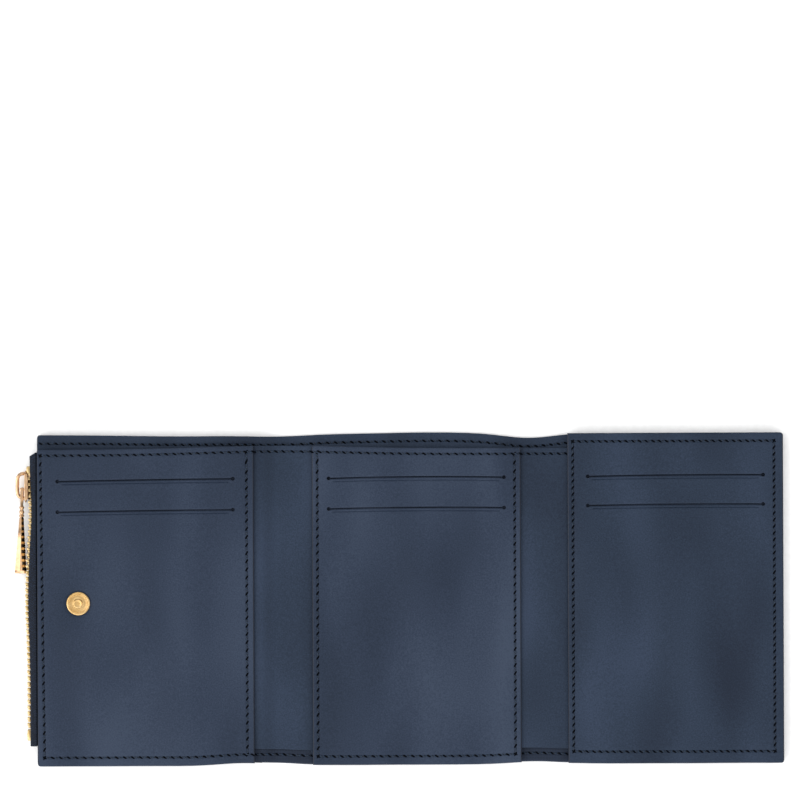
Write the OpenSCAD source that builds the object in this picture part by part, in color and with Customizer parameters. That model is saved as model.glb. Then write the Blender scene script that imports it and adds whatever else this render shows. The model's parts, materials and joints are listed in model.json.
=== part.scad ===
// Trifold wallet of smooth leather, lying open: three card panels joined by two spines.
// A bill pocket runs behind the panels and a zipped coin pocket fills the left wing.
// +X runs along the open wallet, +Y to the bill pocket's mouth, +Z up out of the inner side.
// The origin is the middle of the centre panel, on the outer face that rests on the table.

/* [Leather body] */
// Height of the wallet from bottom edge to top edge
wallet_h = 107; // [96:0.1:120]
// Width of the centre panel
centre_w = 67.86; // [64:0.01:80]
// Width of the left spine, which wraps round the thick left wing
left_spine_w = 18.92; // [17:0.01:22]
// Width of the right spine
right_spine_w = 15.24; // [14:0.01:18]
// Width of the left wing
left_wing_w = 70.45; // [66:0.01:80]
// Width of the right wing, which must stay shorter than the centre and left spine
right_wing_w = 70.13; // [66:0.01:70.4]
// Radius of the wallet's corners
corner_r = 1; // [0.5:0.1:3]
// Distance from the wallet's top edge down to the front wall of the bill pocket
mouth_drop = 5.05; // [3:0.05:9]
// Distance from the bottom edge up to the leaf, where it crosses the spines
leaf_lift = 4.6; // [3:0.1:8]

/* [Layer thicknesses] */
// Outer shell leather
shell_t = 1.2; // [1:0.1:1.5]
// Lining of the coin pocket
coin_lining_t = 0.2; // [0.15:0.05:0.3]
// Space inside the coin pocket
coin_gap = 1.2; // [1:0.1:2]
// Lining and facing of the bill pocket
bill_lining_t = 0.3; // [0.2:0.05:0.4]
// Space inside the bill pocket
bill_gap = 0.4; // [0.3:0.05:1]
// Inner leaf leather
leaf_t = 0.7; // [0.6:0.05:0.9]
// Lining of one card pocket
slot_lining_t = 0.2; // [0.15:0.05:0.3]
// Card panel leather
panel_t = 0.8; // [0.6:0.05:1]

/* [Card slits] */
// Length of a slit, which passes a card's short edge
slit_len = 57; // [55:0.1:60]
// Width of a slit
slit_w = 0.4; // [0.3:0.05:0.8]
// Radius of the hole punched at each end of a slit
punch_r = 0.475; // [0.4:0.005:0.8]
// Distance from the middle of the wallet up to the first slit
slit_y = 39.2; // [34:0.1:42]
// Distance between the two slits of a panel
slit_pitch = 9.8; // [8:0.1:14]

/* [Sewing] */
// Distance of the stitch rows from the edges
stitch_inset = 1.9; // [1.5:0.1:4]
// Width of a row of thread
thread_w = 0.4; // [0.3:0.05:0.6]
// Height of the thread above the leather
thread_h = 0.2; // [0.1:0.05:0.3]

/* [Snap fastener] */
// Radius of the stud's flange
flange_r = 3.8; // [3.4:0.1:4.5]
// Radius of the stud's post
post_r = 1.6; // [1.4:0.05:1.8]
// Height of the post above the panel
post_h = 1.8; // [1.5:0.05:1.95]
// Distance of the snap from the left wing's free edge
snap_inset = 13.4; // [11:0.1:18]
// Height of the snap, from the middle of the wallet
snap_y = -1.2; // [-20:0.1:20]

/* [Zip] */
// Distance between teeth along one row
tooth_pitch = 1.9; // [1.5:0.1:2.5]
// Thickness of the zip tape
tape_t = 0.4; // [0.3:0.05:0.5]
// Half the width of the closed chain
chain_half = 2; // [1.8:0.05:2.1]
// Upper end of the tape
tape_top = 47.9; // [46:0.1:50]
// Lower end of the tape
tape_bottom = -47.5; // [-50:0.1:-46]
// Upper end of the slider, with the zip closed
slider_top = 42; // [40:0.1:43]
// Length of the slider
slider_len = 10.3; // [9:0.1:11]
// Length of the pull, from its crossbar to its free end
pull_len = 27.3; // [22:0.1:32]

/* [Hidden] */
$fn = 48;

navy = [0.2, 0.24, 0.31];
navy_dark = [0.15, 0.18, 0.22];
lining_blue = [0.13, 0.17, 0.25];
thread_blue = [0.14, 0.22, 0.34];
brass = [0.87, 0.72, 0.45];

// Panel edges along X
half_h = wallet_h / 2;
centre_l = -centre_w / 2;
centre_r = centre_w / 2;
left_panel_r = centre_l - left_spine_w;
left_edge = left_panel_r - left_wing_w;
right_panel_l = centre_r + right_spine_w;
right_edge = right_panel_l + right_wing_w;
leaf_top = half_h - mouth_drop;
leaf_bottom = -half_h + leaf_lift;

// Layer heights of the centre, the spines and the right wing
bill_z = shell_t;
leaf_z = bill_z + bill_lining_t + bill_gap;
slot_z = leaf_z + leaf_t;
panel_z = slot_z + 2 * slot_lining_t;
top_z = panel_z + panel_t;

// The coin pocket lifts every layer of the left wing above its shell
coin_lift = 2 * coin_lining_t + coin_gap;
left_bill_z = bill_z + coin_lift;
left_leaf_z = leaf_z + coin_lift;
left_slot_z = slot_z + coin_lift;
left_panel_z = panel_z + coin_lift;
left_top_z = top_z + coin_lift;

// Fold lines: a runs between the centre and a spine, b between a spine and its wing.
// Each lies on its spine, at this distance from the panel beside it.
left_fold_a_in = 4.2;
left_fold_b_in = 2.4;
right_fold_in = 3.6;
fold_a_z = shell_t;
fold_left_a = centre_l - left_fold_a_in;
fold_left_b = left_panel_r + left_fold_b_in;
fold_left_b_z = left_bill_z + bill_lining_t;
fold_right_a = centre_r + right_fold_in;
fold_right_b = right_panel_l - right_fold_in;

// A layer above a fold line stays as far from it as it is high, so that the fold can close
fold_play = 0.05;
row_relief = 0.1;
lining_relief = bill_lining_t + fold_play;
leaf_relief = leaf_z + leaf_t - fold_a_z + 2 * fold_play;
left_leaf_relief = left_leaf_z + leaf_t - fold_left_b_z + fold_play;
pocket_row_relief = lining_relief + thread_h + row_relief;
leaf_row_relief = leaf_relief + thread_h + row_relief;

// Inner pieces stop short of the outline, and the leaf ends under the right panel
trim_in = 0.8;
tuck_w = 7;
tuck_end = right_panel_l + tuck_w;
slot_side = 1.5;
slot_foot = 1;
slot_head = 2;
facing_w = 7;
hem_w = 2.5;
gusset_wall = 1.6;
gusset_inset = 0.4;

// The snap: the socket lies where the stud comes down when both wings are folded
snap_x = left_edge + snap_inset;
closed_left = fold_left_a + fold_left_b + fold_left_b_z - fold_a_z;
closed_right = fold_right_a + fold_right_b;
socket_x = closed_right - (closed_left - snap_x);
socket_r = 3;
socket_depth = 1.9;
socket_flange_t = 0.4;
socket_hole_depth = 1.5;
socket_hole_r = post_r + 0.3;
groove_z = 0.6;
groove_depth = 0.5;
spring_wire = 0.4;
rivet_r = 3;
stem_r = 0.9;
stem_play = 0.1;
cap_r = 3.4;
cap_t = 0.4;
cap_play = 0.2;
flange_t = 0.45;
post_neck_r = post_r - 0.1;

// The zip: the chain stands on edge and faces away from the wallet
zip_lift = 0.3;
zip_z = left_bill_z - coin_lining_t + zip_lift;
tape_hold = 8.3;
tape_in = left_edge + tape_hold;
riser_x = left_edge - 0.2 - tape_t;
chain_x = left_edge - 2.5;
tooth_x = 1.6;
tooth_y = 1;
tooth_gap = 0.5;
cord_w = 0.7;
cord_t = 0.5;
row_bottom = -41.8;
row_top = 40;
top_stop_gap = 0.4;
top_stop_len = 3;
bottom_stop_gap = 0.3;
bottom_stop_len = 3.6;
tape_turn = 0.3;
tape_leg_z = chain_half + tape_turn;

// The slider: a plate each side of the chain, a post between them and a bridge for the pull
plate_t = 0.6;
outer_play = 0.3;
inner_play = 0.2;
plate_out_x = chain_x - tooth_x / 2 - outer_play - plate_t;
plate_in_x = chain_x + tooth_x / 2 + inner_play;
plate_half_z = 2.8;
flange_rim = 0.4;
post_t = 0.4;
post_len = 3;
bridge_w = 2.8;
bridge_r = 1.4;
bridge_t = 1.1;
bridge_wire = 0.9;
bridge_low = slider_top - 8.1;
bridge_high = slider_top - 1.7;

// The pull hangs by its crossbar, which lies in the bridge
bar_r = 0.45;
pull_x = plate_out_x - 0.7;
pull_y = slider_top - 6.1;
pull_tilt = 1.2;
pull_half_z = 1.35;
arm_t = 0.5;
arm_len = 5.5;
collar_len = 3.5;
bar_end_t = 0.05;

// Stitch rows
mouth_row_in = 2.5;
bottom_row_in = 2.9;
row_top_y = half_h - mouth_row_in;
row_leaf_y = leaf_top - stitch_inset;
row_bottom_y = -half_h + bottom_row_in;

// A flat piece of sheet between two heights
module sheet(x_lo, x_hi, y_lo, y_hi, z, t) {
    translate([x_lo, y_lo, z]) cube([x_hi - x_lo, y_hi - y_lo, t]);
}

// The square bit that a rounded corner takes off, with sx and sy pointing at the corner
module corner_bit(x, y, sx, sy, z, t) {
    translate([x, y, z - 1]) difference() {
        translate([min(0, -sx * corner_r), min(0, -sy * corner_r), 0]) cube([corner_r, corner_r, t + 2]);
        translate([-sx * corner_r, -sy * corner_r, -1]) cylinder(r = corner_r, h = t + 4);
    }
}

// A sheet that ends at one of the wallet's free edges, where its corners are rounded
module end_sheet(x_lo, x_hi, y_lo, y_hi, z, t, side) {
    x_end = side < 0 ? x_lo : x_hi;
    difference() {
        sheet(x_lo, x_hi, y_lo, y_hi, z, t);
        corner_bit(x_end, y_lo, side, -1, z, t);
        corner_bit(x_end, y_hi, side, 1, z, t);
    }
}

// Round hole through a sheet
module hole(x, y, r, z, t) {
    translate([x, y, z - 0.5]) cylinder(r = r, h = t + 1);
}

// One slit with its punched ends, rising by rise from left to right
module slit(x, y, rise, z) {
    translate([x, y, z - 1]) rotate(atan(rise / slit_len)) {
        translate([-slit_len / 2, -slit_w / 2, 0]) cube([slit_len, slit_w, panel_t + 2]);
        for (s = [-1, 1]) {
            translate([s * slit_len / 2, 0, 0]) cylinder(r = punch_r, h = panel_t + 2);
        }
    }
}

module slit_pair(x, rise, z) {
    for (i = [0, 1]) slit(x, slit_y - i * slit_pitch, rise, z);
}

// Thread along X and along Y, standing on the leather at height z
module run_x(x_lo, x_hi, y, z) {
    sheet(x_lo, x_hi, y - thread_w / 2, y + thread_w / 2, z, thread_h);
}

module run_y(x, y_lo, y_hi, z) {
    sheet(x - thread_w / 2, x + thread_w / 2, y_lo, y_hi, z, thread_h);
}

// Thread round a panel, open at no side
module frame_run(x_lo, x_hi, y_lo, y_hi, z) {
    run_x(x_lo, x_hi, y_lo, z);
    run_x(x_lo, x_hi, y_hi, z);
    run_y(x_lo, y_lo, y_hi, z);
    run_y(x_hi, y_lo, y_hi, z);
}

// ---- Outer shell ----

module shell_left() {
    color(navy) end_sheet(left_edge, fold_left_b, -half_h, half_h, 0, shell_t, -1);
}

// Shell of a stretch with its leather turned in along the pocket's mouth
module turned_shell(x_lo, x_hi, relief_lo, relief_hi) {
    sheet(x_lo, x_hi, -half_h, half_h, 0, shell_t);
    sheet(x_lo + relief_lo, x_hi - relief_hi, half_h - facing_w, half_h, shell_t, bill_lining_t);
}

module shell_left_spine() {
    color(navy) turned_shell(fold_left_b, fold_left_a, 0, lining_relief);
}

module shell_centre() {
    color(navy) turned_shell(fold_left_a, fold_right_a, lining_relief, lining_relief);
}

module shell_right_spine() {
    color(navy) turned_shell(fold_right_a, fold_right_b, lining_relief, lining_relief);
}

module shell_right() {
    color(navy) difference() {
        end_sheet(fold_right_b, right_edge, -half_h, half_h, 0, shell_t, 1);
        hole(socket_x, snap_y, socket_r, 0, shell_t);
        translate([socket_x, snap_y, -1]) cylinder(r = flange_r, h = 1 + socket_flange_t);
    }
}

// ---- Bill pocket ----

// Lining of a stretch, with the hem that closes the pocket along the bottom
module bill_lining(x_lo, x_hi, z) {
    sheet(x_lo, x_hi, -half_h, half_h - facing_w, z, bill_lining_t);
}

module bill_hem(x_lo, x_hi, z) {
    sheet(x_lo, x_hi, -half_h, -half_h + hem_w, z + bill_lining_t, bill_gap);
}

module bill_lining_left() {
    color(lining_blue) {
        bill_lining(left_edge + trim_in, fold_left_b, left_bill_z);
        bill_hem(left_edge + trim_in, left_panel_r, left_bill_z);
    }
}

module bill_lining_left_spine() {
    color(lining_blue) bill_lining(fold_left_b, fold_left_a - lining_relief, bill_z);
}

module bill_lining_centre() {
    color(lining_blue) {
        bill_lining(fold_left_a + lining_relief, fold_right_a - lining_relief, bill_z);
        bill_hem(centre_l, centre_r, bill_z);
    }
}

module bill_lining_right_spine() {
    color(lining_blue) bill_lining(fold_right_a + lining_relief, fold_right_b - lining_relief, bill_z);
}

module bill_lining_right() {
    color(lining_blue) difference() {
        sheet(fold_right_b + lining_relief, right_edge - trim_in, -half_h, half_h, bill_z, bill_lining_t);
        hole(socket_x, snap_y, socket_r + fold_play, bill_z, bill_lining_t);
    }
}

module bill_facing_left() {
    color(navy) end_sheet(left_edge, fold_left_b, half_h - facing_w, half_h, left_bill_z, bill_lining_t, -1);
}

module inner_leaf_left() {
    color(navy) {
        end_sheet(left_edge, left_panel_r, -half_h, leaf_top, left_leaf_z, leaf_t, -1);
        sheet(left_panel_r, fold_left_b - left_leaf_relief, leaf_bottom, leaf_top, left_leaf_z, leaf_t);
    }
}

module inner_leaf_left_spine() {
    color(navy) sheet(fold_left_b, fold_left_a - leaf_relief, leaf_bottom, leaf_top, leaf_z, leaf_t);
}

module inner_leaf_centre() {
    color(navy) {
        sheet(fold_left_a + leaf_relief, fold_right_a - leaf_relief, leaf_bottom, leaf_top, leaf_z, leaf_t);
        sheet(centre_l, centre_r, -half_h, leaf_top, leaf_z, leaf_t);
    }
}

module inner_leaf_right_spine() {
    color(navy) {
        sheet(fold_right_a + leaf_relief, fold_right_b - leaf_relief, leaf_bottom, leaf_top, leaf_z, leaf_t);
    }
}

module inner_leaf_right() {
    color(navy) sheet(fold_right_b + leaf_relief, tuck_end, leaf_bottom, leaf_top, leaf_z, leaf_t);
}

module panel_backing_right() {
    color(lining_blue) difference() {
        sheet(tuck_end, right_edge - trim_in, -half_h, half_h, bill_z + bill_lining_t, bill_gap + leaf_t);
        hole(socket_x, snap_y, cap_r + cap_play, bill_z + bill_lining_t, bill_gap + leaf_t);
    }
}

// ---- Card pockets ----

// Pocket lining that hangs from slit number i (0 is the upper one) down to the bottom seam
module slot_lining(x_lo, x_hi, i, z) {
    y_hi = slit_y - i * slit_pitch + slot_head;
    z_lo = z + i * slot_lining_t;
    sheet(x_lo + slot_side, x_hi - slot_side, -half_h + slot_foot, y_hi, z_lo, slot_lining_t);
}

module left_slot_lining(i) {
    color(lining_blue) difference() {
        slot_lining(left_edge, left_panel_r, i, left_slot_z);
        hole(snap_x, snap_y, rivet_r + cap_play, left_slot_z, 2 * slot_lining_t);
    }
}

module slot_lining_left_upper() { left_slot_lining(0); }

module slot_lining_left_lower() { left_slot_lining(1); }

module slot_lining_centre_upper() { color(lining_blue) slot_lining(centre_l, centre_r, 0, slot_z); }

module slot_lining_centre_lower() { color(lining_blue) slot_lining(centre_l, centre_r, 1, slot_z); }

module slot_lining_right_upper() { color(lining_blue) slot_lining(right_panel_l, right_edge, 0, slot_z); }

module slot_lining_right_lower() { color(lining_blue) slot_lining(right_panel_l, right_edge, 1, slot_z); }

module card_panel_left() {
    color(navy) difference() {
        end_sheet(left_edge, left_panel_r, -half_h, leaf_top, left_panel_z, panel_t, -1);
        slit_pair((left_edge + left_panel_r) / 2, 0.6, left_panel_z);
        hole(snap_x, snap_y, stem_r + stem_play, left_panel_z, panel_t);
    }
}

module card_panel_centre() {
    color(navy) difference() {
        sheet(centre_l, centre_r, -half_h, leaf_top, panel_z, panel_t);
        slit_pair(0, 0.2, panel_z);
    }
}

module card_panel_right() {
    color(navy) difference() {
        end_sheet(right_panel_l, right_edge, -half_h, half_h, panel_z, panel_t, 1);
        slit_pair((right_panel_l + right_edge) / 2, 0.3, panel_z);
    }
}

// ---- Coin pocket ----

module coin_lining_outer() {
    color(lining_blue) {
        sheet(left_edge + trim_in, left_panel_r, -half_h + trim_in, half_h - trim_in, shell_t, coin_lining_t);
    }
}

module coin_lining_inner() {
    z = left_bill_z - coin_lining_t;
    color(lining_blue) {
        sheet(left_edge + trim_in, left_panel_r, -half_h + trim_in, half_h - trim_in, z, coin_lining_t);
    }
}

// Leather strip round the three closed sides of the coin pocket
module coin_gusset() {
    z = shell_t + coin_lining_t;
    color(navy_dark) {
        for (y = [-half_h, half_h - gusset_wall]) {
            sheet(left_edge + gusset_inset, fold_left_b, y, y + gusset_wall, z, coin_gap);
        }
        sheet(fold_left_b - gusset_wall, fold_left_b, -half_h, half_h, z, coin_gap);
    }
}

// ---- Sewing ----

module thread_left() {
    color(thread_blue) {
        x_lo = left_edge + stitch_inset;
        x_hi = left_panel_r - stitch_inset - thread_w;
        frame_run(x_lo, x_hi, row_bottom_y, row_leaf_y, left_top_z);
        run_x(x_lo, fold_left_b - thread_h - row_relief, row_top_y, left_bill_z + bill_lining_t);
    }
}

module spine_runs(x_lo, x_hi, relief_lo, relief_hi, leaf_lo, leaf_hi) {
    pocket_z = bill_z + bill_lining_t;
    run_x(x_lo + relief_lo, x_hi - relief_hi, row_top_y, pocket_z);
    run_x(x_lo + relief_lo, x_hi - relief_hi, row_bottom_y, pocket_z);
    run_x(x_lo + leaf_lo, x_hi - leaf_hi, row_leaf_y, slot_z);
}

module thread_left_spine() {
    color(thread_blue) {
        spine_runs(fold_left_b, fold_left_a, row_relief, pocket_row_relief, row_relief, leaf_row_relief);
    }
}

module thread_centre() {
    color(thread_blue) {
        frame_run(centre_l + stitch_inset, centre_r - stitch_inset, row_bottom_y, row_leaf_y, top_z);
        x_lo = fold_left_a + pocket_row_relief;
        x_hi = fold_right_a - pocket_row_relief;
        run_x(x_lo, x_hi, row_top_y, bill_z + bill_lining_t);
    }
}

module thread_right_spine() {
    color(thread_blue) {
        spine_runs(fold_right_a, fold_right_b, pocket_row_relief, pocket_row_relief,
            leaf_row_relief, leaf_row_relief);
    }
}

module thread_right() {
    color(thread_blue) {
        x_hi = right_edge - stitch_inset - 1;
        frame_run(right_panel_l + stitch_inset, x_hi, row_bottom_y, row_top_y, top_z);
        run_x(fold_right_b + leaf_row_relief, right_panel_l, row_leaf_y, slot_z);
    }
}

// ---- Zip ----

// One tape in section: side is 1 for the inner tape, on top, and -1 for the outer one
module tape_section(side) {
    hold = side > 0 ? left_bill_z - coin_lining_t - tape_t : shell_t + coin_lining_t;
    far = zip_z + side * tape_leg_z - (side < 0 ? tape_t : 0);
    translate([riser_x, hold]) square([tape_in - riser_x, tape_t]);
    translate([riser_x, min(hold, far)]) square([tape_t, abs(far - hold) + tape_t]);
    translate([chain_x - tape_t / 2, far]) square([riser_x + tape_t - chain_x + tape_t / 2, tape_t]);
    edge_z = side > 0 ? zip_z + chain_half : far;
    translate([chain_x - tape_t / 2, edge_z]) square([tape_t, tape_turn + tape_t]);
}

module tape(side) {
    color(navy_dark) translate([0, tape_top, 0]) rotate([90, 0, 0]) {
        linear_extrude(height = tape_top - tape_bottom) tape_section(side);
    }
}

module zip_tape_outer() { tape(-1); }

module zip_tape_inner() { tape(1); }

// One row of teeth on its cord; the two rows lie half a pitch apart
module teeth_row(side, shift) {
    z = side > 0 ? zip_z + tooth_gap : zip_z - chain_half;
    cord_z = side > 0 ? zip_z + chain_half - cord_t : z;
    color(brass) {
        for (y = [row_bottom + shift : tooth_pitch : row_top - tooth_y]) {
            translate([chain_x - tooth_x / 2, y, z]) cube([tooth_x, tooth_y, chain_half - tooth_gap]);
        }
        translate([chain_x - cord_w / 2, row_bottom, cord_z]) cube([cord_w, row_top - row_bottom, cord_t]);
    }
}

module zip_teeth_outer() { teeth_row(-1, 0); }

module zip_teeth_inner() { teeth_row(1, tooth_pitch / 2); }

module zip_top_stops() {
    color(brass) {
        for (z = [zip_z - chain_half, zip_z + tooth_gap]) {
            translate([chain_x - tooth_x / 2, row_top + top_stop_gap, z]) {
                cube([tooth_x, top_stop_len, chain_half - tooth_gap]);
            }
        }
    }
}

module zip_bottom_stop() {
    y_lo = row_bottom - bottom_stop_gap - bottom_stop_len;
    color(brass) translate([chain_x - tooth_x / 2, y_lo, zip_z - chain_half]) {
        cube([tooth_x, bottom_stop_len, 2 * chain_half]);
    }
}

// Outline of the bridge, grown by g, with its foot on the outer plate
module bridge_outline(g) {
    r = bridge_r + g;
    hull() {
        for (y = [bridge_low, bridge_high]) {
            translate([plate_out_x - bridge_w + bridge_r, y]) circle(r = r, $fn = 32);
        }
        translate([plate_out_x, bridge_low - r]) square([0.2, bridge_high - bridge_low + 2 * r]);
    }
}

module zip_slider() {
    y_lo = slider_top - slider_len;
    color(brass) {
        translate([plate_out_x, y_lo, zip_z - plate_half_z]) cube([plate_t, slider_len, 2 * plate_half_z]);
        translate([plate_in_x, y_lo, zip_z - chain_half]) cube([plate_t, slider_len, 2 * chain_half]);
        translate([plate_out_x + plate_t / 2, slider_top - post_len, zip_z - post_t / 2]) {
            cube([plate_in_x - plate_out_x, post_len, post_t]);
        }
        for (z = [zip_z - plate_half_z, zip_z + plate_half_z - flange_rim]) {
            translate([plate_out_x, y_lo, z]) cube([plate_t + flange_rim, slider_len, flange_rim]);
        }
        translate([0, 0, zip_z - bridge_t / 2]) linear_extrude(height = bridge_t) difference() {
            intersection() {
                bridge_outline(0);
                translate([plate_out_x - 10, -half_h]) square([10.1, wallet_h]);
            }
            intersection() {
                bridge_outline(-bridge_wire);
                translate([plate_out_x - 10, -half_h]) square([10, wallet_h]);
            }
        }
    }
}

module zip_pull() {
    bar_top = arm_len + collar_len;
    color(brass) translate([pull_x, pull_y, zip_z]) rotate(-pull_tilt) {
        translate([0, 0, -pull_half_z]) cylinder(r = bar_r, h = 2 * pull_half_z);
        for (z = [-pull_half_z, pull_half_z - arm_t]) {
            translate([-bar_r, -arm_len, z]) cube([2 * bar_r, arm_len, arm_t]);
        }
        translate([0, -arm_len, 0]) rotate([90, 0, 0]) cylinder(r = pull_half_z, h = collar_len);
        hull() {
            translate([0, -bar_top, 0]) pull_section(0.7, 0.9);
            translate([0, -pull_len + bar_end_t, 0]) pull_section(1.9, 1);
        }
    }
}

// Four-sided section of the pull's bar, with a ridge up the middle of each face
module pull_section(half_x, half_z) {
    rotate([90, 0, 0]) linear_extrude(height = bar_end_t) {
        polygon([[-half_x, 0], [0, half_z], [half_x, 0], [0, -half_z]]);
    }
}

// ---- Snap ----

module snap_stud() {
    color(brass) translate([snap_x, snap_y, left_top_z]) rotate_extrude() polygon([
        [stem_r + 0.02, 0], [flange_r, 0], [flange_r, flange_t - 0.15], [flange_r - 0.3, flange_t],
        [flange_r - 0.7, flange_t], [post_r + 0.4, flange_t - 0.2], [post_neck_r, flange_t - 0.1],
        [post_neck_r, post_h - 1], [post_r, post_h - 0.7], [post_r, post_h - 0.3], [post_r - 0.3, post_h],
        [0, post_h], [0, post_h - 0.8], [stem_r + 0.02, post_h - 0.8]
    ]);
}

module snap_stud_rivet() {
    color(brass) translate([snap_x, snap_y, left_slot_z]) {
        cylinder(r = rivet_r, h = 2 * slot_lining_t - 0.05);
        cylinder(r = stem_r, h = 2 * slot_lining_t + panel_t + 0.95);
    }
}

module snap_socket() {
    color(brass) translate([socket_x, snap_y, 0]) difference() {
        union() {
            cylinder(r = flange_r, h = socket_flange_t);
            cylinder(r = socket_r, h = socket_depth);
        }
        translate([0, 0, -1]) cylinder(r = socket_hole_r, h = socket_hole_depth + 1);
        translate([0, 0, groove_z]) cylinder(r = socket_hole_r + 0.5, h = groove_depth);
    }
}

module snap_socket_spring() {
    z = groove_z + (groove_depth - spring_wire) / 2;
    color("silver") translate([socket_x, snap_y, z]) rotate_extrude() {
        translate([socket_hole_r - 0.05, 0]) square([spring_wire, spring_wire]);
    }
}

module snap_socket_cap() {
    color(brass) translate([socket_x, snap_y, socket_depth]) cylinder(r = cap_r, h = cap_t);
}

shell_left();
shell_left_spine();
shell_centre();
shell_right_spine();
shell_right();
bill_lining_left();
bill_lining_left_spine();
bill_lining_centre();
bill_lining_right_spine();
bill_lining_right();
bill_facing_left();
inner_leaf_left();
inner_leaf_left_spine();
inner_leaf_centre();
inner_leaf_right_spine();
inner_leaf_right();
panel_backing_right();
slot_lining_left_upper();
slot_lining_left_lower();
slot_lining_centre_upper();
slot_lining_centre_lower();
slot_lining_right_upper();
slot_lining_right_lower();
card_panel_left();
card_panel_centre();
card_panel_right();
coin_lining_outer();
coin_lining_inner();
coin_gusset();
thread_left();
thread_left_spine();
thread_centre();
thread_right_spine();
thread_right();
zip_tape_outer();
zip_tape_inner();
zip_teeth_outer();
zip_teeth_inner();
zip_top_stops();
zip_bottom_stop();
zip_slider();
zip_pull();
snap_stud();
snap_stud_rivet();
snap_socket();
snap_socket_spring();
snap_socket_cap();
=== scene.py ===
import json
import math

import bpy
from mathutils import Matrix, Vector


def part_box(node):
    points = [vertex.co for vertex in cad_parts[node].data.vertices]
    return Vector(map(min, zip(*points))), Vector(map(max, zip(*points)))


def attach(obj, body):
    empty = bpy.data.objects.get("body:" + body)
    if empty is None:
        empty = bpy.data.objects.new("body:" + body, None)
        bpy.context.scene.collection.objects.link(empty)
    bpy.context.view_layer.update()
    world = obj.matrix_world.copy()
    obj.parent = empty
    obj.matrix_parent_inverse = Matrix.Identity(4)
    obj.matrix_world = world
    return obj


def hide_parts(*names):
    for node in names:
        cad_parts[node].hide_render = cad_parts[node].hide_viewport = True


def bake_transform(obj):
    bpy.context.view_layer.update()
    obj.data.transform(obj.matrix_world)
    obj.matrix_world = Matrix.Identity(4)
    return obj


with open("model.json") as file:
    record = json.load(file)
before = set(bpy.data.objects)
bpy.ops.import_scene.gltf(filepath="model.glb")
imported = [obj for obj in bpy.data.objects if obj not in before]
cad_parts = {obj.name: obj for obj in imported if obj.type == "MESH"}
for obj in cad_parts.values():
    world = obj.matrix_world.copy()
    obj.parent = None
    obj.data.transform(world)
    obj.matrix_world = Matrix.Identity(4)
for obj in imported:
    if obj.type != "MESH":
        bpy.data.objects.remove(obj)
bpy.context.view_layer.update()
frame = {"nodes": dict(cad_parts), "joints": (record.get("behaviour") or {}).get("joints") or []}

# Visual model of an open trifold wallet: smooth leather on a woven lining, with a zipped
# coin pocket in the left wing and a snap. Lengths are in millimetres until a mesh is made.
MM = 0.001


# ---- Measures taken from the frame ----

def span(node):
    """Lowest and highest corner of a CAD node, in millimetres."""
    low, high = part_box(node)
    return [v / MM for v in low], [v / MM for v in high]


def fold_line(joint):
    """x and z of a fold's axis, in millimetres."""
    found = next(j for j in frame["joints"] if j["name"] == joint)
    return found["pos_m"][0] / MM, found["pos_m"][2] / MM


left_panel, centre_panel, right_panel = (span("card_panel_" + s) for s in ("left", "centre", "right"))
LEFT_EDGE = left_panel[0][0]
RIGHT_EDGE = right_panel[1][0]
HALF_H = span("shell_left")[1][1]
LEAF_TOP = left_panel[1][1]
LEAF_BOTTOM = span("inner_leaf_left_spine")[0][1]
TUCK_END = span("inner_leaf_right")[1][0]
FACING_LOW = span("bill_facing_left")[0][1]
SHELL_T = span("shell_left")[1][2]
LINING_T = 0.3
LEAF_Z = span("inner_leaf_centre")[0][2]
LEAF_T = span("inner_leaf_centre")[1][2] - LEAF_Z
COIN_LIFT = span("inner_leaf_left")[0][2] - LEAF_Z

LEFT_A = fold_line("left_spine_fold")[0]
RIGHT_A = fold_line("right_spine_fold")[0]
RIGHT_B = fold_line("right_wing_fold")[0]

# Each spine's skins are cut across its middle, where the leather stays flat
LEFT_CUT = -43.2
RIGHT_CUT = (RIGHT_A + RIGHT_B) / 2
# Where the leather bends: from one body to the next
BEND_LEFT_B = (-52.6, -45.4)
BEND_LEFT_B_SHELL = (-55.4, -45.3)
BEND_HALF = 3
BEND_LEFT_A = (LEFT_A - BEND_HALF, LEFT_A + BEND_HALF)
BEND_RIGHT_A = (RIGHT_A - BEND_HALF, RIGHT_A + BEND_HALF)
BEND_RIGHT_B = (RIGHT_B - BEND_HALF, RIGHT_B + BEND_HALF)

# Sewing
ROW_FACING = HALF_H - 2.75
ROW_LEAF = LEAF_TOP - 1.95
ROW_BOTTOM = -HALF_H + 2.8
ROW_LEFT = LEFT_EDGE + 1.2
ROW_LEFT_LOW = LEFT_EDGE + 2.3
ROW_LEFT_IN = left_panel[1][0] - 2.3
ROW_CENTRE_L = centre_panel[0][0] + 1.73
ROW_CENTRE_R = centre_panel[1][0] - 1.98
ROW_RIGHT_L = right_panel[0][0] + 1.73
ROW_RIGHT_R = RIGHT_EDGE - 3
ROW_RIGHT_TOP = HALF_H - 2.7
ROW_RIGHT_BOTTOM = -HALF_H + 3.8
STITCH = 2.6
STITCH_FINE = 2.15


def smooth(t):
    t = min(1.0, max(0.0, t))
    return t * t * (3 - 2 * t)


def bell(d, width):
    return math.exp(-(d / width) ** 2)


# ---- Mesh making ----

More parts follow.
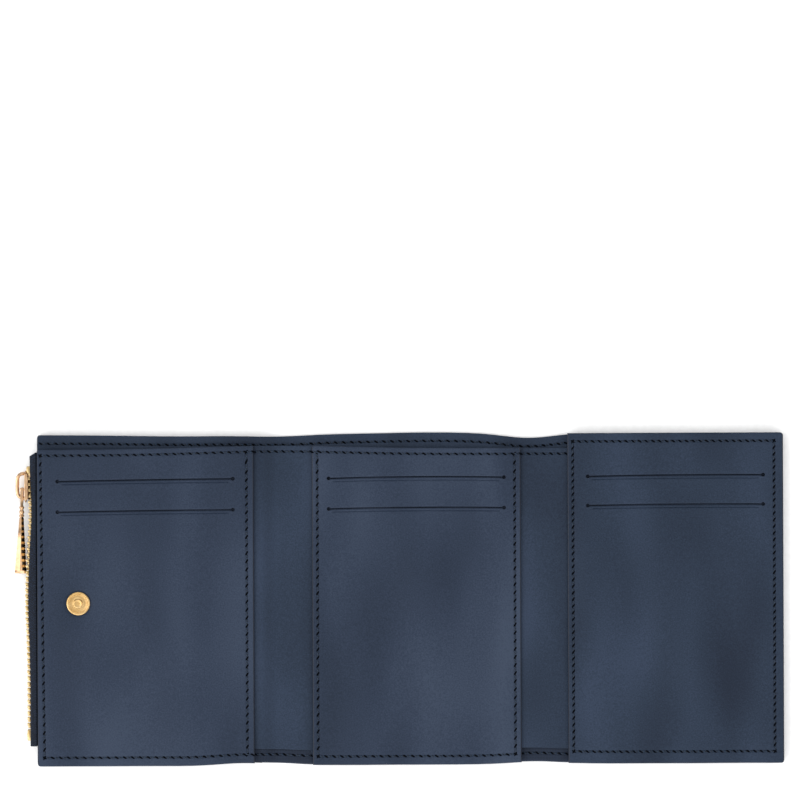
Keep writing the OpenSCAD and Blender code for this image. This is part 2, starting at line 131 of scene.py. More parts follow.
class Shape:
    """Gathers closed solids into one mesh, with a material number for each face."""

    def __init__(self):
        self.verts, self.faces, self.marks = [], [], []

    def add(self, verts, faces, mark=0):
        first = len(self.verts)
        self.verts += verts
        self.faces += [[first + i for i in f] for f in faces]
        self.marks += [mark] * len(faces) if isinstance(mark, int) else mark

    def loft(self, rings, mark=0):
        """Skin over a row of rings that have the same number of points, closed at both ends."""
        n = len(rings[0])
        faces = [
            [r * n + i, r * n + (i + 1) % n, (r + 1) * n + (i + 1) % n, (r + 1) * n + i]
            for r in range(len(rings) - 1) for i in range(n)
        ]
        last = (len(rings) - 1) * n
        faces += [list(range(n))[::-1], [last + i for i in range(n)]]
        self.add([p for ring in rings for p in ring], faces, mark)

    def block(self, low, high, r, mark=0):
        """Box with every edge taken off by r."""
        rings = []
        for z, inset in ((low[2], r), (low[2] + r, 0), (high[2] - r, 0), (high[2], r)):
            x0, x1, y0, y1 = low[0] + inset, high[0] - inset, low[1] + inset, high[1] - inset
            c = r * 0.8
            rings.append([
                (x0 + c, y0, z), (x1 - c, y0, z), (x1, y0 + c, z), (x1, y1 - c, z),
                (x1 - c, y1, z), (x0 + c, y1, z), (x0, y1 - c, z), (x0, y0 + c, z),
            ])
        self.loft(rings, mark)

    def lathe(self, profile, centre, axis="z", turns=64, mark=0):
        """Turns (radius, height) points about an axis through centre, and closes the ends."""
        rings = []
        for radius, height in profile:
            radius = max(radius, 0.002)
            ring = []
            for i in range(turns):
                a = 2 * math.pi * i / turns
                u, v = radius * math.cos(a), radius * math.sin(a)
                point = (u, v, height) if axis == "z" else (u, -height, v)
                ring.append(tuple(c + p for c, p in zip(centre, point)))
            rings.append(ring)
        self.loft(rings, mark)

    def tube(self, path, radius, sides=8, mark=0):
        """Round rod along a path, with its ends drawn in."""
        rings = []
        wide, high = radius if isinstance(radius, tuple) else (radius, radius)
        for i, p in enumerate(path):
            a, b = Vector(path[max(i - 1, 0)]), Vector(path[min(i + 1, len(path) - 1)])
            along = (b - a).normalized()
            side = along.cross(Vector((0, 0, 1)))
            side = side.normalized() if side.length > 1e-4 else Vector((1, 0, 0))
            up = side.cross(along)
            r = 0.45 if i in (0, len(path) - 1) else 1
            rings.append([
                tuple(Vector(p) + r * (wide * math.cos(t) * side + high * math.sin(t) * up))
                for t in (2 * math.pi * k / sides for k in range(sides))
            ])
        self.loft(rings, mark)

    def build(self, name, materials, angle=40):
        mesh = bpy.data.meshes.new(name)
        mesh.from_pydata([(x * MM, y * MM, z * MM) for x, y, z in self.verts], [], self.faces)
        mesh.polygons.foreach_set("material_index", self.marks)
        for m in materials:
            mesh.materials.append(m)
        mesh.shade_smooth()
        mesh.set_sharp_from_angle(angle=math.radians(angle))
        mesh.update()
        piece = bpy.data.objects.new(name, mesh)
        bpy.context.scene.collection.objects.link(piece)
        return piece


RIM_STEPS = (0, 0.03, 0.09, 0.19, 0.34, 0.6, 1.0, 1.4, 1.7, 1.95, 2.2, 2.6, 3.2, 4.2)


def grid_lines(low, high, free_low, free_high, step, dense):
    """Positions of a sheet's grid lines: close at free edges and in the dense stretches."""
    lines = {low, high}
    lines.update(low + s for s in RIM_STEPS if free_low)
    lines.update(high - s for s in RIM_STEPS if free_high)
    for a, b, fine in dense:
        count = max(1, round((b - a) / fine))
        lines.update(a + (b - a) * i / count for i in range(count + 1))
    lines = sorted(v for v in lines if low <= v <= high)
    filled = []
    for a, b in zip(lines, lines[1:]):
        count = max(1, math.ceil((b - a) / step))
        filled += [a + (b - a) * i / count for i in range(count)]
    filled.append(lines[-1])
    kept = [filled[0]]
    for v in filled[1:-1]:
        if v - kept[-1] > 0.025 and filled[-1] - v > 0.025:
            kept.append(v)
    return kept + [filled[-1]]


def carve(piece, blade):
    """Cuts the blade's solid out of a piece, for good."""
    cutter = piece.modifiers.new("cut", "BOOLEAN")
    cutter.operation, cutter.solver, cutter.object = "DIFFERENCE", "EXACT", blade
    graph = bpy.context.evaluated_depsgraph_get()
    mesh = bpy.data.meshes.new_from_object(piece.evaluated_get(graph))
    piece.modifiers.clear()
    piece.data = mesh
    mesh.set_sharp_from_angle(angle=math.radians(40))
    bpy.data.objects.remove(blade)


class Leaf:
    """A skin of leather or cloth with rolled rims. Heights are given on its flat pattern, and shift
    then moves its points to where they lie."""

    def __init__(self, x, y, top, bottom, free="lrbt", roll=0.3, corner=(), step=1.6, dense_x=(), dense_y=(),
                 shift=None):
        self.x, self.y, self.top, self.bottom = x, y, top, bottom
        self.free, self.roll, self.corner, self.shift = free, roll, corner, shift
        self.xs = grid_lines(*x, "l" in free, "r" in free, step, dense_x)
        self.ys = grid_lines(*y, "b" in free, "t" in free, step, dense_y)

    def rim(self, x, y):
        """Distance to the nearest free edge."""
        far = 1e3
        return min(
            x - self.x[0] if "l" in self.free else far, self.x[1] - x if "r" in self.free else far,
            y - self.y[0] if "b" in self.free else far, self.y[1] - y if "t" in self.free else far,
        )

    def side_rim(self, x):
        """Distance to the nearest side edge; only the sides take the dark edge colour, partly edge paint and
        partly painted shade for the shadow line there.
        """
        far = 1e3
        return min(x - self.x[0] if "l" in self.free else far, self.x[1] - x if "r" in self.free else far)

    def place(self, x, y):
        """Rounds the corners, then moves the outline."""
        for cx, cy in self.corner:
            sx, sy = (1 if 2 * cx > sum(self.x) else -1), (1 if 2 * cy > sum(self.y) else -1)
            a, b = (x - cx) * sx, (y - cy) * sy
            if a > 0 and b > 0:
                k = max(a, b) / math.hypot(a, b)
                x, y = cx + sx * a * k, cy + sy * b * k
        return self.shift(x, y) if self.shift else (x, y)

    def shape(self):
        nx, ny = len(self.xs), len(self.ys)
        tops, lows, rims = [], [], []
        for x in self.xs:
            for y in self.ys:
                d = self.rim(x, y)
                r = self.roll
                drop = r - math.sqrt(max(0.0, r * r - (r - d) ** 2)) if d < r else 0.0
                px, py = self.place(x, y)
                tops.append((px, py, self.top(x, y) - drop))
                lows.append((px, py, self.bottom(x, y) + drop * 0.6))
                rims.append(self.side_rim(x))
        n = nx * ny
        faces, marks = [], []
        for i in range(nx - 1):
            for j in range(ny - 1):
                a, b, c, d = i * ny + j, (i + 1) * ny + j, (i + 1) * ny + j + 1, i * ny + j + 1
                # Quads near a side edge take the dark edge colour: partly edge paint, partly painted shade
                # for the shadow line beside the raised edge
                painted = 1 if (rims[a] + rims[b] + rims[c] + rims[d]) / 4 < 1.1 * self.roll else 0
                faces += [[a, b, c, d], [n + d, n + c, n + b, n + a]]
                marks += [painted, painted]
        around = [i * ny for i in range(nx)] + [(nx - 1) * ny + j for j in range(1, ny)]
        around += [i * ny + ny - 1 for i in range(nx - 2, -1, -1)] + [j for j in range(ny - 2, 0, -1)]
        for a, b in zip(around, around[1:] + around[:1]):
            faces.append([b, a, n + a, n + b])
            marks.append(1 if max(rims[a], rims[b]) < 0.01 else 0)
        made = Shape()
        made.add(tops + lows, faces, marks)
        return made


# ---- Materials ----

def linear(code):
    """Linear RGBA of an sRGB hex colour."""
    parts = (int(code[i:i + 2], 16) / 255 for i in (1, 3, 5))
    return (*(c / 12.92 if c <= 0.04045 else ((c + 0.055) / 1.055) ** 2.4 for c in parts), 1.0)


def add(tree, kind, settings=None, links=None):
    """Adds a node, sets its inputs, properties or colour stops, and links its inputs to nodes or sockets."""
    made = tree.nodes.new("ShaderNode" + kind)
    for key, value in (settings or {}).items():
        if key == "stops":
            ramp = made.color_ramp
            while len(ramp.elements) < len(value):
                ramp.elements.new(0.5)
            for element, (position, code) in zip(ramp.elements, value):
                element.position, element.color = position, linear(code)
        elif isinstance(key, int) or key in made.inputs:
            made.inputs[key].default_value = value
        else:
            setattr(made, key, value)
    for key, source in (links or {}).items():
        tree.links.new(source.outputs[0] if hasattr(source, "outputs") else source, made.inputs[key])
    return made


def start(name, **sockets):
    """A material with a Principled shader, and the place on the piece that its patterns read."""
    material = bpy.data.materials.new(name)
    material.use_nodes = True
    tree = material.node_tree
    tree.nodes.clear()
    shader = add(tree, "BsdfPrincipled", {k.replace("_", " "): v for k, v in sockets.items()})
    add(tree, "OutputMaterial", None, {"Surface": shader})
    place = add(tree, "TexCoord").outputs["Object"]
    return material, tree, shader, place


def finish(tree, shader, colour, dull, height, relief_mm):
    """Links a colour, a roughness and a height in millimetres of relief to the shader."""
    bump = add(tree, "Bump", {"Strength": 1.0, "Distance": relief_mm * MM}, {"Height": height})
    for socket, source in (("Base Color", colour), ("Roughness", dull), ("Normal", bump)):
        tree.links.new(source.outputs[0], shader.inputs[socket])


def per_metre(mm):
    """Texture scale whose features are mm wide."""
    return 1 / (mm * MM)


def wave_scale(mm):
    """Wave texture scale whose bands are mm apart."""
    return 2 * math.pi / (20 * mm * MM)


def leather(name, dark, mid, light, rough, grain_mm, relief_mm):
    """Skin of finished leather: a fine pebble of grain with pores between. Its soft streaks are painted
    shade:
    colour in place of the shading that shallow folds would give."""
    material, tree, shader, place = start(name, IOR=1.5, Specular_IOR_Level=0.15)
    # Broad streaks stretched up the wallet: painted shade of shallow folds, mixed into the colour
    fold_shade_stretch = add(tree, "Mapping", {"Scale": (1.0, 0.38, 1.0)}, {"Vector": place})
    fold_shade_clouds = add(tree, "TexNoise", {"Scale": per_metre(21), "Detail": 1.0}, {"Vector": fold_shade_stretch})
    pores = add(tree, "TexNoise", {"Scale": per_metre(0.45), "Detail": 3.0, "Roughness": 0.7},
                {"Vector": place})
    pebble = add(tree, "TexVoronoi", {"feature": "SMOOTH_F1", "Scale": per_metre(grain_mm)},
                 {"Vector": place})
    fine = add(tree, "Math", {"operation": "MULTIPLY", 1: 0.5}, {0: pores})
    tone = add(tree, "Math", {"operation": "MULTIPLY_ADD", 1: 0.5}, {0: fold_shade_clouds, 2: fine})
    colour = add(tree, "ValToRGB", {"stops": ((0.34, dark), (0.5, mid), (0.66, light))}, {"Fac": tone})
    dull = add(tree, "MapRange",
               {"From Min": 0.3, "From Max": 0.7, "To Min": rough - 0.06, "To Max": rough + 0.07},
               {"Value": pores})
    height = add(tree, "Math", {"operation": "MULTIPLY_ADD", 1: 0.8}, {0: pores, 2: pebble})
    finish(tree, shader, colour, dull, height, relief_mm)
    return material


def edge_paint_and_shade_line():
    """Painted edge: thick acrylic dye over the rim, glossier than the skin, with a slightly lumpy coat. Its
    dark colour also serves as painted shade, for the shadow line beside a raised side edge.
    """
    material, tree, shader, place = start("painted leather edge and painted shade line", IOR=1.49, Specular_IOR_Level=0.3)
    lumps = add(tree, "TexNoise", {"Scale": per_metre(1.6), "Detail": 2.0}, {"Vector": place})
    scuffs = add(tree, "TexNoise", {"Scale": per_metre(0.6), "Detail": 4.0}, {"Vector": place})
    colour = add(tree, "ValToRGB", {"stops": ((0.35, "#0d1422"), (0.6, "#131c2b"), (0.75, "#1c2739"))},
                 {"Fac": scuffs})
    dull = add(tree, "MapRange", {"To Min": 0.35, "To Max": 0.55}, {"Value": scuffs})
    finish(tree, shader, colour, dull, lumps, 0.03)
    return material


def woven(name, dark, light, pitch, rough, relief_mm):
    """Plain weave: two sets of threads crossing at right angles, a little uneven."""
    material, tree, shader, place = start(name, IOR=1.53, Specular_IOR_Level=0.2)
    warp, weft = (
        add(tree, "TexWave", {"bands_direction": side, "Scale": wave_scale(pitch), "Distortion": 0.6,
                              "Detail Scale": 2.0}, {"Vector": place}).outputs["Fac"]
        for side in ("X", "Y")
    )
    slub = add(tree, "TexNoise", {"Scale": per_metre(3), "Detail": 3.0}, {"Vector": place})
    weave = add(tree, "Math", {"operation": "MAXIMUM"}, {0: warp, 1: weft})
    uneven = add(tree, "Math", {"operation": "MULTIPLY", 1: 0.5}, {0: slub})
    tone = add(tree, "Math", {"operation": "MULTIPLY_ADD", 1: 0.6}, {0: weave, 2: uneven})
    colour = add(tree, "ValToRGB", {"stops": ((0.2, dark), (0.9, light))}, {"Fac": tone})
    dull = add(tree, "MapRange", {"To Min": rough + 0.1, "To Max": rough}, {"Value": weave})
    finish(tree, shader, colour, dull, weave, relief_mm)
    return material


def zip_twill():
    """Zip tape, herringbone woven: ribs run along the tape and the slant changes from rib to rib."""
    material, tree, shader, place = start("woven zip tape", IOR=1.53, Specular_IOR_Level=0.2)
    parts = add(tree, "SeparateXYZ", None, {"Vector": place}).outputs
    across = add(tree, "Math", {"operation": "ADD"}, {0: parts["X"], 1: parts["Z"]})
    # A real rib is 0.5 mm wide; it is drawn 0.8 mm wide to show at this size
    rib = add(tree, "Math", {"operation": "PINGPONG", 1: 0.8 * MM}, {0: across})
    slant = add(tree, "Math", {"operation": "ADD"}, {0: rib, 1: parts["Y"]})
    turns = add(tree, "Math", {"operation": "MULTIPLY", 1: 2 * math.pi / (0.8 * MM)}, {0: slant})
    yarn = add(tree, "Math", {"operation": "SINE"}, {0: turns})
    fuzz = add(tree, "TexNoise", {"Scale": per_metre(0.5), "Detail": 3.0}, {"Vector": place})
    tone = add(tree, "Math", {"operation": "MULTIPLY_ADD", 1: 0.16}, {0: yarn, 2: fuzz})
    colour = add(tree, "ValToRGB", {"stops": ((0.28, "#050911"), (0.5, "#0d1420"), (0.72, "#1c2739"))},
                 {"Fac": tone})
    dull = add(tree, "MapRange", {"To Min": 0.65, "To Max": 0.85}, {"Value": fuzz})
    finish(tree, shader, colour, dull, yarn, 0.04)
    return material


def bonded_thread():
    """Bonded polyester thread: three plies twisted together, smooth and a little shiny."""
    material, tree, shader, place = start("bonded polyester thread", IOR=1.58, Specular_IOR_Level=0.25)
    plies = add(tree, "TexWave",
                {"bands_direction": "DIAGONAL", "Scale": wave_scale(0.45), "Distortion": 0.5},
                {"Vector": place}).outputs["Fac"]
    colour = add(tree, "ValToRGB", {"stops": ((0.1, "#040d18"), (0.6, "#081a2e"), (0.95, "#11293f"))},
                 {"Fac": plies})
    dull = add(tree, "MapRange", {"To Min": 0.55, "To Max": 0.42}, {"Value": plies})
    finish(tree, shader, colour, dull, plies, 0.03)
    return material


def awl_cut():
    """Inside of an awl's cut: raw leather fibre in deep shade, the shade painted into its colour."""
    material, tree, shader, place = start("awl cut", Specular_IOR_Level=0.05)
    fibre = add(tree, "TexNoise", {"Scale": per_metre(0.3), "Detail": 2.0}, {"Vector": place})
    colour = add(tree, "ValToRGB", {"stops": ((0.3, "#020306"), (0.7, "#05080e"))}, {"Fac": fibre})
    dull = add(tree, "MapRange", {"To Min": 0.9, "To Max": 1.0}, {"Value": fibre})
    finish(tree, shader, colour, dull, fibre, 0.05)
    return material


def metal(name, dark, light, rough_low, rough_high, line_mm):
    """Metal with fine handling marks: shallow lines one way and a faint change of tone."""
    material, tree, shader, place = start(name, Metallic=1.0)
    tone = add(tree, "TexNoise", {"Scale": per_metre(2.2), "Detail": 3.0}, {"Vector": place})
    stretched = add(tree, "Mapping", {"Scale": (1.0, 0.12, 1.0)}, {"Vector": place})
    lines = add(tree, "TexNoise", {"Scale": per_metre(line_mm), "Detail": 4.0}, {"Vector": stretched})
    colour = add(tree, "ValToRGB", {"stops": ((0.35, dark), (0.65, light))}, {"Fac": tone})
    dull = add(tree, "MapRange",
               {"From Min": 0.3, "From Max": 0.7, "To Min": rough_low, "To Max": rough_high},
               {"Value": lines})
    finish(tree, shader, colour, dull, lines, 0.003)
    return material


# Real box calf has finer grain, a few tenths of a millimetre; it is drawn 0.6 mm wide to show here
CALF = leather("smooth box calf leather", "#182231", "#242e3f", "#313b4c", 0.56, 0.6, 0.04)
# The same leather a shade darker, as painted shade, so that the leaf, the facing and the right panel read
# deeper where less light falls
SHADED_CALF = leather("smooth calf leather, painted shade copy", "#151e2d", "#202b3b", "#2c374a", 0.56, 0.6, 0.04)
PARED = leather("pared gusset leather", "#0c121c", "#121a27", "#1a2433", 0.6, 0.8, 0.035)
# Dark edge colour: edge paint, and painted shade for the shadow lines beside raised side edges
EDGE_AND_SHADE_LINE = edge_paint_and_shade_line()
# Lining threads are 0.2 mm apart on real pocket cloth; they are drawn 0.5 mm apart to show
LINING = woven("woven pocket lining", "#0a101b", "#192436", 0.5, 0.65, 0.03)
BACKING = woven("backing cloth", "#0b1018", "#1b2433", 0.6, 0.75, 0.03)
TAPE = zip_twill()
THREAD = bonded_thread()
AWL = awl_cut()
# Light gold plate, satin brushed: broad soft reflections with a warm tone
SATIN = metal("satin gold plate", "#c5a067", "#d0b07c", 0.3, 0.4, 0.25)
# Rose gold plate, polished: clear reflections, bright and dark side by side
GOLD = metal("polished rose gold plate", "#b39070", "#cbab88", 0.1, 0.18, 0.25)
# Plated zip teeth, tumbled: a paler plate, softer
TEETH = metal("tumbled gold plate", "#a68e60", "#c2ab80", 0.26, 0.38, 0.3)
SPRING = metal("drawn spring wire", "#8f9296", "#b9bcc0", 0.25, 0.4, 0.2)


# ---- Heights of the layers ----

def rise(x):
    """From 0 to 1 where the layers climb over the coin pocket, across the left spine."""
    return smooth((-45.8 - x) / 4.8)


def swell(x, y):
    """Slow, shallow waves that sewn leather keeps, mostly up and down the wallet, in millimetres."""
    return (
        0.27 * math.sin(x / 4.4 + 0.9 * math.sin(y / 27 + 0.4) + 0.6)
        * (0.65 + 0.35 * math.sin(y / 19 + x / 30))
        + 0.12 * math.sin(x / 8.3 - y / 23 + 1.9)
        + 0.05 * math.sin(y / 9.7 + x / 40)
    )


def furrow(x, y, rows):
    """How far the leather is pulled down along rows of stitches (x0, y0, x1, y1, pitch)."""
    depth = 0.0
    for x0, y0, x1, y1, _ in rows:
        dx, dy = x1 - x0, y1 - y0
        t = min(1.0, max(0.0, ((x - x0) * dx + (y - y0) * dy) / (dx * dx + dy * dy)))
        d = math.hypot(x - x0 - t * dx, y - y0 - t * dy)
        if d < 1.2:
            depth = max(depth, 0.14 * bell(d, 0.5))
    return depth


def lining_low(x, y):
    return SHELL_T + COIN_LIFT * rise(x)


def leaf_low(x, y):
    return LEAF_Z + COIN_LIFT * rise(x)


def droop(x, y):
    """How far the back wall's top edge bends down to the table, right of the coin pocket."""
    return 0.6 * smooth((y - HALF_H + 5) / 5) * smooth((x + 50) / 8)


def edge_sag(x):
    """The top edge of the back wall bows in over the left wing and both spines, and out over the centre."""
    return (0.55 * bell(x + 75, 26) + 0.6 * bell(x + 45, 13) + 1.5 * bell(x - 36.5, 11.5)
            - 0.4 * bell(x - 4, 20))


def hem_lift(x):
    """The bottom edge is shorter at both spines than along the wings."""
    return (0.85 * bell(x + 56, 11) + 0.3 * bell(x + 43, 6) + 0.75 * bell(x - 38, 12)
            + 0.15 * smooth((x - 45) / 10) - 0.6)


def mouth_lift(x):
    """The front wall of the bill pocket stands higher by the left spine."""
    return 0.35 + 1.05 * bell(x + 46, 33)


def hem_shift(x, y):
    return hem_lift(x) * smooth((-y - 30) / (HALF_H - 30))


def sagging(x, y):
    """Moves the outline of the back wall's skins along their top and bottom edges."""
    return x, y - edge_sag(x) * smooth((y - 30) / (HALF_H - 34)) + hem_shift(x, y)


def front_shift(x, y):
    """Moves the outline of the leaf and the panels on it."""
    return x, y + mouth_lift(x) * smooth((y - 41) / 5) + hem_shift(x, y)


# ---- Long skins that cross the folds ----

def corners(x, y):
    """Centres of the 1 mm corner arcs at these ends."""
    return [(cx, cy) for cx in x for cy in y]


SKIN_ENDS = (LEFT_EDGE, LEFT_CUT, 0.0, RIGHT_CUT, RIGHT_EDGE)
FINE_BEND = 0.45


def long_skin(name, ends, y, top, bottom, material, bends, replaced, roll, free="bt", shift=None, outer=(),
              dense_y=(), step=1.8, hole=None):
    """One skin across the wallet, in four stretches that each cross one fold, with a finer grid over the
    fold's bend zone.
    """
    made = []
    for i in range(4):
        x = ends[i], ends[i + 1]
        sides = free + ("l" if i == 0 and "l" in outer else "") + ("r" if i == 3 and "r" in outer else "")
        rounded = []
        if i == 0 and "l" in outer:
            rounded = corners((x[0] + 1,), (y[0] + 1, y[1] - 1))
        if i == 3 and "r" in outer:
            rounded = corners((x[1] - 1,), (y[0] + 1, y[1] - 1))
        bend = bends[i]
        skin = Leaf(x, y, top, bottom, sides, roll, rounded, step=step, shift=shift,
                    dense_x=((bend[0] - 0.5, bend[1] + 0.5, FINE_BEND),), dense_y=dense_y)
        rim = EDGE_AND_SHADE_LINE if material in (CALF, SHADED_CALF) else material
        piece = skin.shape().build(f"{name}_{i + 1}", [material, rim])
        if hole and i == 3:
            drill = Shape()
            drill.lathe([(hole[2], -1), (hole[2], 4)], (hole[0], hole[1], 0), mark=1)
            carve(piece, drill.build("drill", list(piece.data.materials)))
        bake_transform(piece)
        if replaced[i]:
            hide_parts(*replaced[i])
        made.append(piece)
    return made


socket_low, socket_high = span("snap_socket")
SOCKET = ((socket_low[0] + socket_high[0]) / 2, (socket_low[1] + socket_high[1]) / 2, 3.02)
BENDS = (BEND_LEFT_B, BEND_LEFT_A, BEND_RIGHT_A, BEND_RIGHT_B)
SHELL_BENDS = (BEND_LEFT_B_SHELL, BEND_LEFT_A, BEND_RIGHT_A, BEND_RIGHT_B)

# Rows of sewing as (x0, y0, x1, y1, pitch)
LEFT_FRAME = [
    (ROW_LEFT, ROW_LEAF, left_panel[1][0], ROW_LEAF, STITCH),
    (ROW_LEFT_LOW, ROW_BOTTOM, left_panel[1][0] - 0.6, ROW_BOTTOM, STITCH),
    (ROW_LEFT_LOW, ROW_BOTTOM, ROW_LEFT, ROW_LEAF, STITCH),
    (ROW_LEFT_IN, ROW_BOTTOM, ROW_LEFT_IN, ROW_LEAF, STITCH),
]
CENTRE_FRAME = [
    (centre_panel[0][0], ROW_LEAF, centre_panel[1][0], ROW_LEAF, STITCH),
    (ROW_CENTRE_L, ROW_BOTTOM, ROW_CENTRE_R, ROW_BOTTOM, STITCH),
    (ROW_CENTRE_L, ROW_BOTTOM, ROW_CENTRE_L, ROW_LEAF, STITCH),
    (ROW_CENTRE_R, ROW_BOTTOM, ROW_CENTRE_R, ROW_LEAF, STITCH),
]
RIGHT_FRAME = [
    (ROW_RIGHT_L, ROW_RIGHT_TOP, ROW_RIGHT_R, ROW_RIGHT_TOP, STITCH_FINE),
    (ROW_RIGHT_L, ROW_RIGHT_BOTTOM, ROW_RIGHT_R, ROW_RIGHT_BOTTOM, STITCH_FINE),
    (ROW_RIGHT_L, ROW_RIGHT_BOTTOM, ROW_RIGHT_L, ROW_RIGHT_TOP, STITCH_FINE),
    (ROW_RIGHT_R, ROW_RIGHT_BOTTOM, ROW_RIGHT_R, ROW_RIGHT_TOP, STITCH_FINE),
]
FACING_ROW = (ROW_LEFT, ROW_FACING, right_panel[0][0], ROW_FACING, STITCH)
LEAF_ROW = (ROW_LEFT, ROW_LEAF, right_panel[0][0], ROW_LEAF, STITCH)
HEM_ROW = (ROW_LEFT, ROW_BOTTOM, right_panel[0][0], ROW_BOTTOM, STITCH)


def shell_top(x, y):
    return SHELL_T - droop(x, y)


def shell_bottom(x, y):
    # Sewing shows as a shallow furrow outside as well; elsewhere the skin lies on the table
    return 0.05 + 0.12 * swell(x, y) + furrow(x, y, [FACING_ROW, HEM_ROW]) * 0.8


def facing_top(x, y):
    return lining_low(x, y) + LINING_T + 0.35 * swell(x, y) - furrow(x, y, [FACING_ROW]) - droop(x, y)


def facing_bottom(x, y):
    return lining_low(x, y) + 0.01 - droop(x, y)


def lining_top(x, y):
    return lining_low(x, y) + LINING_T - furrow(x, y, [HEM_ROW])


def leaf_top_z(x, y):
    return leaf_low(x, y) + LEAF_T + 0.6 * swell(x, y) - furrow(x, y, [LEAF_ROW])


def leaf_shift(x, y):
    """The leaf's bottom edge follows the wallet's under the panels, and is cut higher over the spines."""
    over_left = smooth((x + 53.6) / 0.5) * (1 - smooth((x + 33.6) / 0.5))
    over_right = smooth((x - 33.1) / 0.5)
    lift = (LEAF_BOTTOM + HALF_H) * max(over_left, over_right)
    x, y_front = front_shift(x, y)
    return x, y_front + lift * smooth((-y - 25) / (HALF_H - 25))


long_skin("outer_shell", SKIN_ENDS, (-HALF_H, HALF_H), shell_top, shell_bottom, CALF, SHELL_BENDS,
          (["shell_left"], ["shell_left_spine", "shell_centre"], ["shell_right_spine"], ["shell_right"]),
          0.4, shift=sagging, outer="lr", hole=SOCKET,
          dense_y=((ROW_FACING - 0.8, ROW_FACING + 0.8, 0.25), (ROW_BOTTOM - 0.8, ROW_BOTTOM + 0.8, 0.25)))
linings = long_skin(
    "bill_lining", (LEFT_EDGE + 0.8, LEFT_CUT, 0.0, RIGHT_CUT, RIGHT_EDGE - 0.8), (-HALF_H + 0.4, FACING_LOW),
    lining_top, lining_low, LINING, BENDS,
    (["bill_lining_left"], ["bill_lining_left_spine", "bill_lining_centre"], ["bill_lining_right_spine"],
     ["bill_lining_right"]), 0.1, shift=sagging, outer="lr",
    hole=SOCKET,
    dense_y=((ROW_BOTTOM - 0.8, ROW_BOTTOM + 0.8, 0.25),))
# The facing here and the leaf below take the darker copy of the leather, as painted shade
long_skin("pocket_facing", (LEFT_EDGE, LEFT_CUT, 0.0, RIGHT_CUT, right_panel[0][0] + 2), (FACING_LOW, HALF_H),
          facing_top, facing_bottom, SHADED_CALF, BENDS, (["bill_facing_left"], [], [], []), 0.14,
          shift=sagging, outer="l", dense_y=((ROW_FACING - 0.8, ROW_FACING + 0.8, 0.25),))
long_skin("inner_leaf", (LEFT_EDGE, LEFT_CUT, 0.0, RIGHT_CUT, TUCK_END), (-HALF_H, LEAF_TOP),
          leaf_top_z, leaf_low, SHADED_CALF, BENDS,
          (["inner_leaf_left"], ["inner_leaf_left_spine", "inner_leaf_centre"], ["inner_leaf_right_spine"],
           ["inner_leaf_right"]), 0.3, shift=leaf_shift, outer="lr",
          dense_y=((ROW_LEAF - 0.8, ROW_LEAF + 0.8, 0.25),))


# ---- Card panels ----

SLIT_LEN = 57.0
SLIT_HALF_W = 0.2
PUNCH_R = 0.62
CREASE_DROP = 1.05


